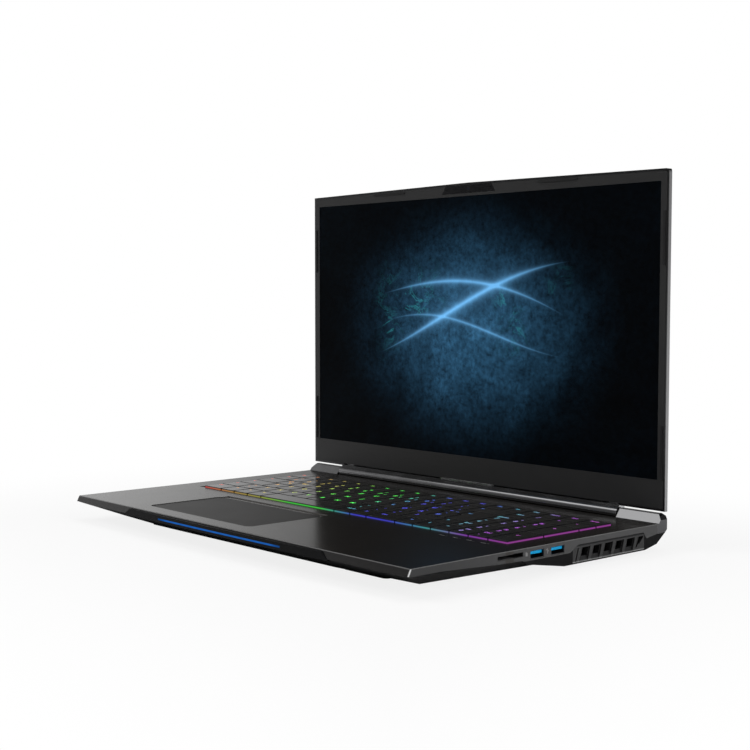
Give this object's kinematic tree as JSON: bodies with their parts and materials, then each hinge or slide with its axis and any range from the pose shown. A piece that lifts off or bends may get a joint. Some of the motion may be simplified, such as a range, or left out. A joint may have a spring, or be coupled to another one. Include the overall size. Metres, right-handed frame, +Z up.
{
  "type": "laptop computer",
  "caption": "Gaming notebook computer with a hinged screen, full keyboard with number pad, touchpad, side vents and side ports.",
  "frame": {"origin": "on the table under the middle of the computer's box, lid open at 90 degrees", "axes": "+Z up, +Y from the front edge to the hinge, +X to the user's right"},
  "size_m": [0.3958, 0.2626, 0.2759],
  "materials": {
    "black_plastic": "fine moulded grain",
    "deck_metal": "satin anthracite paint",
    "cap_plastic": "satin anthracite paint",
    "light_blue": "lit blue lens",
    "plate_steel": "matt black",
    "light_guide": "lit diffuser sheet, coloured from red to violet",
    "white_plastic": "natural plastic",
    "circuit_board": "green solder mask",
    "battery_film": "black film",
    "fan_plastic": "matt",
    "copper": "bare copper",
    "fin_black": "black finish",
    "port_metal": "nickel plated",
    "tongue_blue": "cyan blue",
    "dark_port": "black",
    "rubber_black": "soft",
    "screw_steel": "black zinc",
    "hinge_steel": "bare",
    "touchpad_film": "smooth film",
    "button_metal": "satin",
    "lid_metal": "anodised anthracite",
    "bezel_plastic": "fine grain",
    "screen": "lit anti-glare panel",
    "camera_window": "gloss",
    "camera_glass": "lens",
    "barrel_metal": "satin",
    "key_plastic": "soft touch"
  },
  "bodies": {
    "base": {"bottom_cover": "black_plastic", "top_case": "deck_metal", "hinge_cap_left": "cap_plastic", "hinge_cap_right": "cap_plastic", "vent_louvres_left": "black_plastic", "vent_louvres_right": "black_plastic", "rear_grille": "black_plastic", "light_bar": "light_blue", "keyboard_plate": "plate_steel", "light_guide": "light_guide", "key_mechanisms": "white_plastic", "mainboard": "circuit_board", "battery": "battery_film", "fan_housings": "fan_plastic", "heat_pipes": "copper", "fin_stacks": "fin_black", "heat_spreader": "copper", "memory_modules": "circuit_board", "ssd_modules": "circuit_board", "wireless_card": "circuit_board", "speakers": "fan_plastic", "usb_a_shells": "port_metal", "usb_a_tongues": "tongue_blue", "card_reader": "dark_port", "network_socket": "dark_port", "audio_sockets": "dark_port", "usb_c_socket": "port_metal", "hdmi_socket": "port_metal", "power_inlet": "dark_port", "rubber_feet": "rubber_black", "bottom_screws": "screw_steel", "hinge_brackets": "hinge_steel"},
    "lid": {"lid_cover": "lid_metal", "screen_bezel": "bezel_plastic", "lcd_panel": "screen", "webcam_window": "camera_window", "webcam_lens": "camera_glass", "lid_bumpers": "rubber_black", "hinge_barrel": "barrel_metal", "hinge_arms": "hinge_steel"},
    "touchpad": {"touchpad": "touchpad_film"},
    "power_button": {"power_button": "button_metal"},
    "fan_rotor_left": {"fan_rotor_left": "fan_plastic"},
    "fan_rotor_right": {"fan_rotor_right": "fan_plastic"},
    "escape_key": {"escape_key": "key_plastic"},
    "function_keys": {"function_keys": "key_plastic"},
    "number_keys": {"number_keys": "key_plastic"},
    "backspace_key": {"backspace_key": "key_plastic"},
    "upper_letter_keys": {"upper_letter_keys": "key_plastic"},
    "home_letter_keys": {"home_letter_keys": "key_plastic"},
    "enter_key": {"enter_key": "key_plastic"},
    "lower_letter_keys": {"lower_letter_keys": "key_plastic"},
    "left_shift_key": {"left_shift_key": "key_plastic"},
    "right_shift_key": {"right_shift_key": "key_plastic"},
    "modifier_keys": {"modifier_keys": "key_plastic"},
    "space_bar": {"space_bar": "key_plastic"},
    "arrow_keys": {"arrow_keys": "key_plastic"},
    "numpad_keys": {"numpad_keys": "key_plastic"},
    "numpad_plus_key": {"numpad_plus_key": "key_plastic"},
    "numpad_enter_key": {"numpad_enter_key": "key_plastic"}
  },
  "joints": [
    {"name": "lid_hinge", "type": "hinge", "parent": "base", "child": "lid", "pos_m": [0, 0.12485, 0.0219], "axis": [1, 0, 0], "range_deg": [-40, 90]},
    {"name": "touchpad_click", "type": "hinge", "parent": "base", "child": "touchpad", "pos_m": [-0.05, -0.04295, 0.0191], "axis": [1, 0, 0], "range_deg": [0, 0.4], "stiffness_Nm_per_rad": 40, "springref_deg": -0.57},
    {"name": "power_button_press", "type": "slide", "parent": "base", "child": "power_button", "axis": [0, 0, -1], "range_m": [0, 0.0005], "stiffness_N_per_m": 1500, "springref_m": -0.0005},
    {"name": "fan_spin_left", "type": "hinge", "parent": "base", "child": "fan_rotor_left", "pos_m": [-0.112, 0.06185, 0.008], "axis": [0, 0, 1], "continuous": true},
    {"name": "fan_spin_right", "type": "hinge", "parent": "base", "child": "fan_rotor_right", "pos_m": [0.112, 0.06185, 0.008], "axis": [0, 0, 1], "continuous": true},
    {"name": "escape_key_press", "type": "slide", "parent": "base", "child": "escape_key", "axis": [0, 0, -1], "range_m": [0, 0.0014], "stiffness_N_per_m": 400, "springref_m": -0.0008},
    {"name": "function_keys_press", "type": "slide", "parent": "base", "child": "function_keys", "axis": [0, 0, -1], "range_m": [0, 0.0014], "stiffness_N_per_m": 7200, "springref_m": -0.0008},
    {"name": "number_keys_press", "type": "slide", "parent": "base", "child": "number_keys", "axis": [0, 0, -1], "range_m": [0, 0.0014], "stiffness_N_per_m": 5200, "springref_m": -0.0008},
    {"name": "backspace_key_press", "type": "slide", "parent": "base", "child": "backspace_key", "axis": [0, 0, -1], "range_m": [0, 0.0014], "stiffness_N_per_m": 400, "springref_m": -0.0008},
    {"name": "upper_letter_keys_press", "type": "slide", "parent": "base", "child": "upper_letter_keys", "axis": [0, 0, -1], "range_m": [0, 0.0014], "stiffness_N_per_m": 5200, "springref_m": -0.0008},
    {"name": "home_letter_keys_press", "type": "slide", "parent": "base", "child": "home_letter_keys", "axis": [0, 0, -1], "range_m": [0, 0.0014], "stiffness_N_per_m": 5200, "springref_m": -0.0008},
    {"name": "enter_key_press", "type": "slide", "parent": "base", "child": "enter_key", "axis": [0, 0, -1], "range_m": [0, 0.0014], "stiffness_N_per_m": 400, "springref_m": -0.0008},
    {"name": "lower_letter_keys_press", "type": "slide", "parent": "base", "child": "lower_letter_keys", "axis": [0, 0, -1], "range_m": [0, 0.0014], "stiffness_N_per_m": 4400, "springref_m": -0.0008},
    {"name": "left_shift_key_press", "type": "slide", "parent": "base", "child": "left_shift_key", "axis": [0, 0, -1], "range_m": [0, 0.0014], "stiffness_N_per_m": 400, "springref_m": -0.0008},
    {"name": "right_shift_key_press", "type": "slide", "parent": "base", "child": "right_shift_key", "axis": [0, 0, -1], "range_m": [0, 0.0014], "stiffness_N_per_m": 400, "springref_m": -0.0008},
    {"name": "modifier_keys_press", "type": "slide", "parent": "base", "child": "modifier_keys", "axis": [0, 0, -1], "range_m": [0, 0.0014], "stiffness_N_per_m": 2800, "springref_m": -0.0008},
    {"name": "space_bar_press", "type": "slide", "parent": "base", "child": "space_bar", "axis": [0, 0, -1], "range_m": [0, 0.0014], "stiffness_N_per_m": 400, "springref_m": -0.0008},
    {"name": "arrow_keys_press", "type": "slide", "parent": "base", "child": "arrow_keys", "axis": [0, 0, -1], "range_m": [0, 0.0014], "stiffness_N_per_m": 1600, "springref_m": -0.0008},
    {"name": "numpad_keys_press", "type": "slide", "parent": "base", "child": "numpad_keys", "axis": [0, 0, -1], "range_m": [0, 0.0014], "stiffness_N_per_m": 6000, "springref_m": -0.0008},
    {"name": "numpad_plus_key_press", "type": "slide", "parent": "base", "child": "numpad_plus_key", "axis": [0, 0, -1], "range_m": [0, 0.0014], "stiffness_N_per_m": 400, "springref_m": -0.0008},
    {"name": "numpad_enter_key_press", "type": "slide", "parent": "base", "child": "numpad_enter_key", "axis": [0, 0, -1], "range_m": [0, 0.0014], "stiffness_N_per_m": 400, "springref_m": -0.0008}
  ]
}
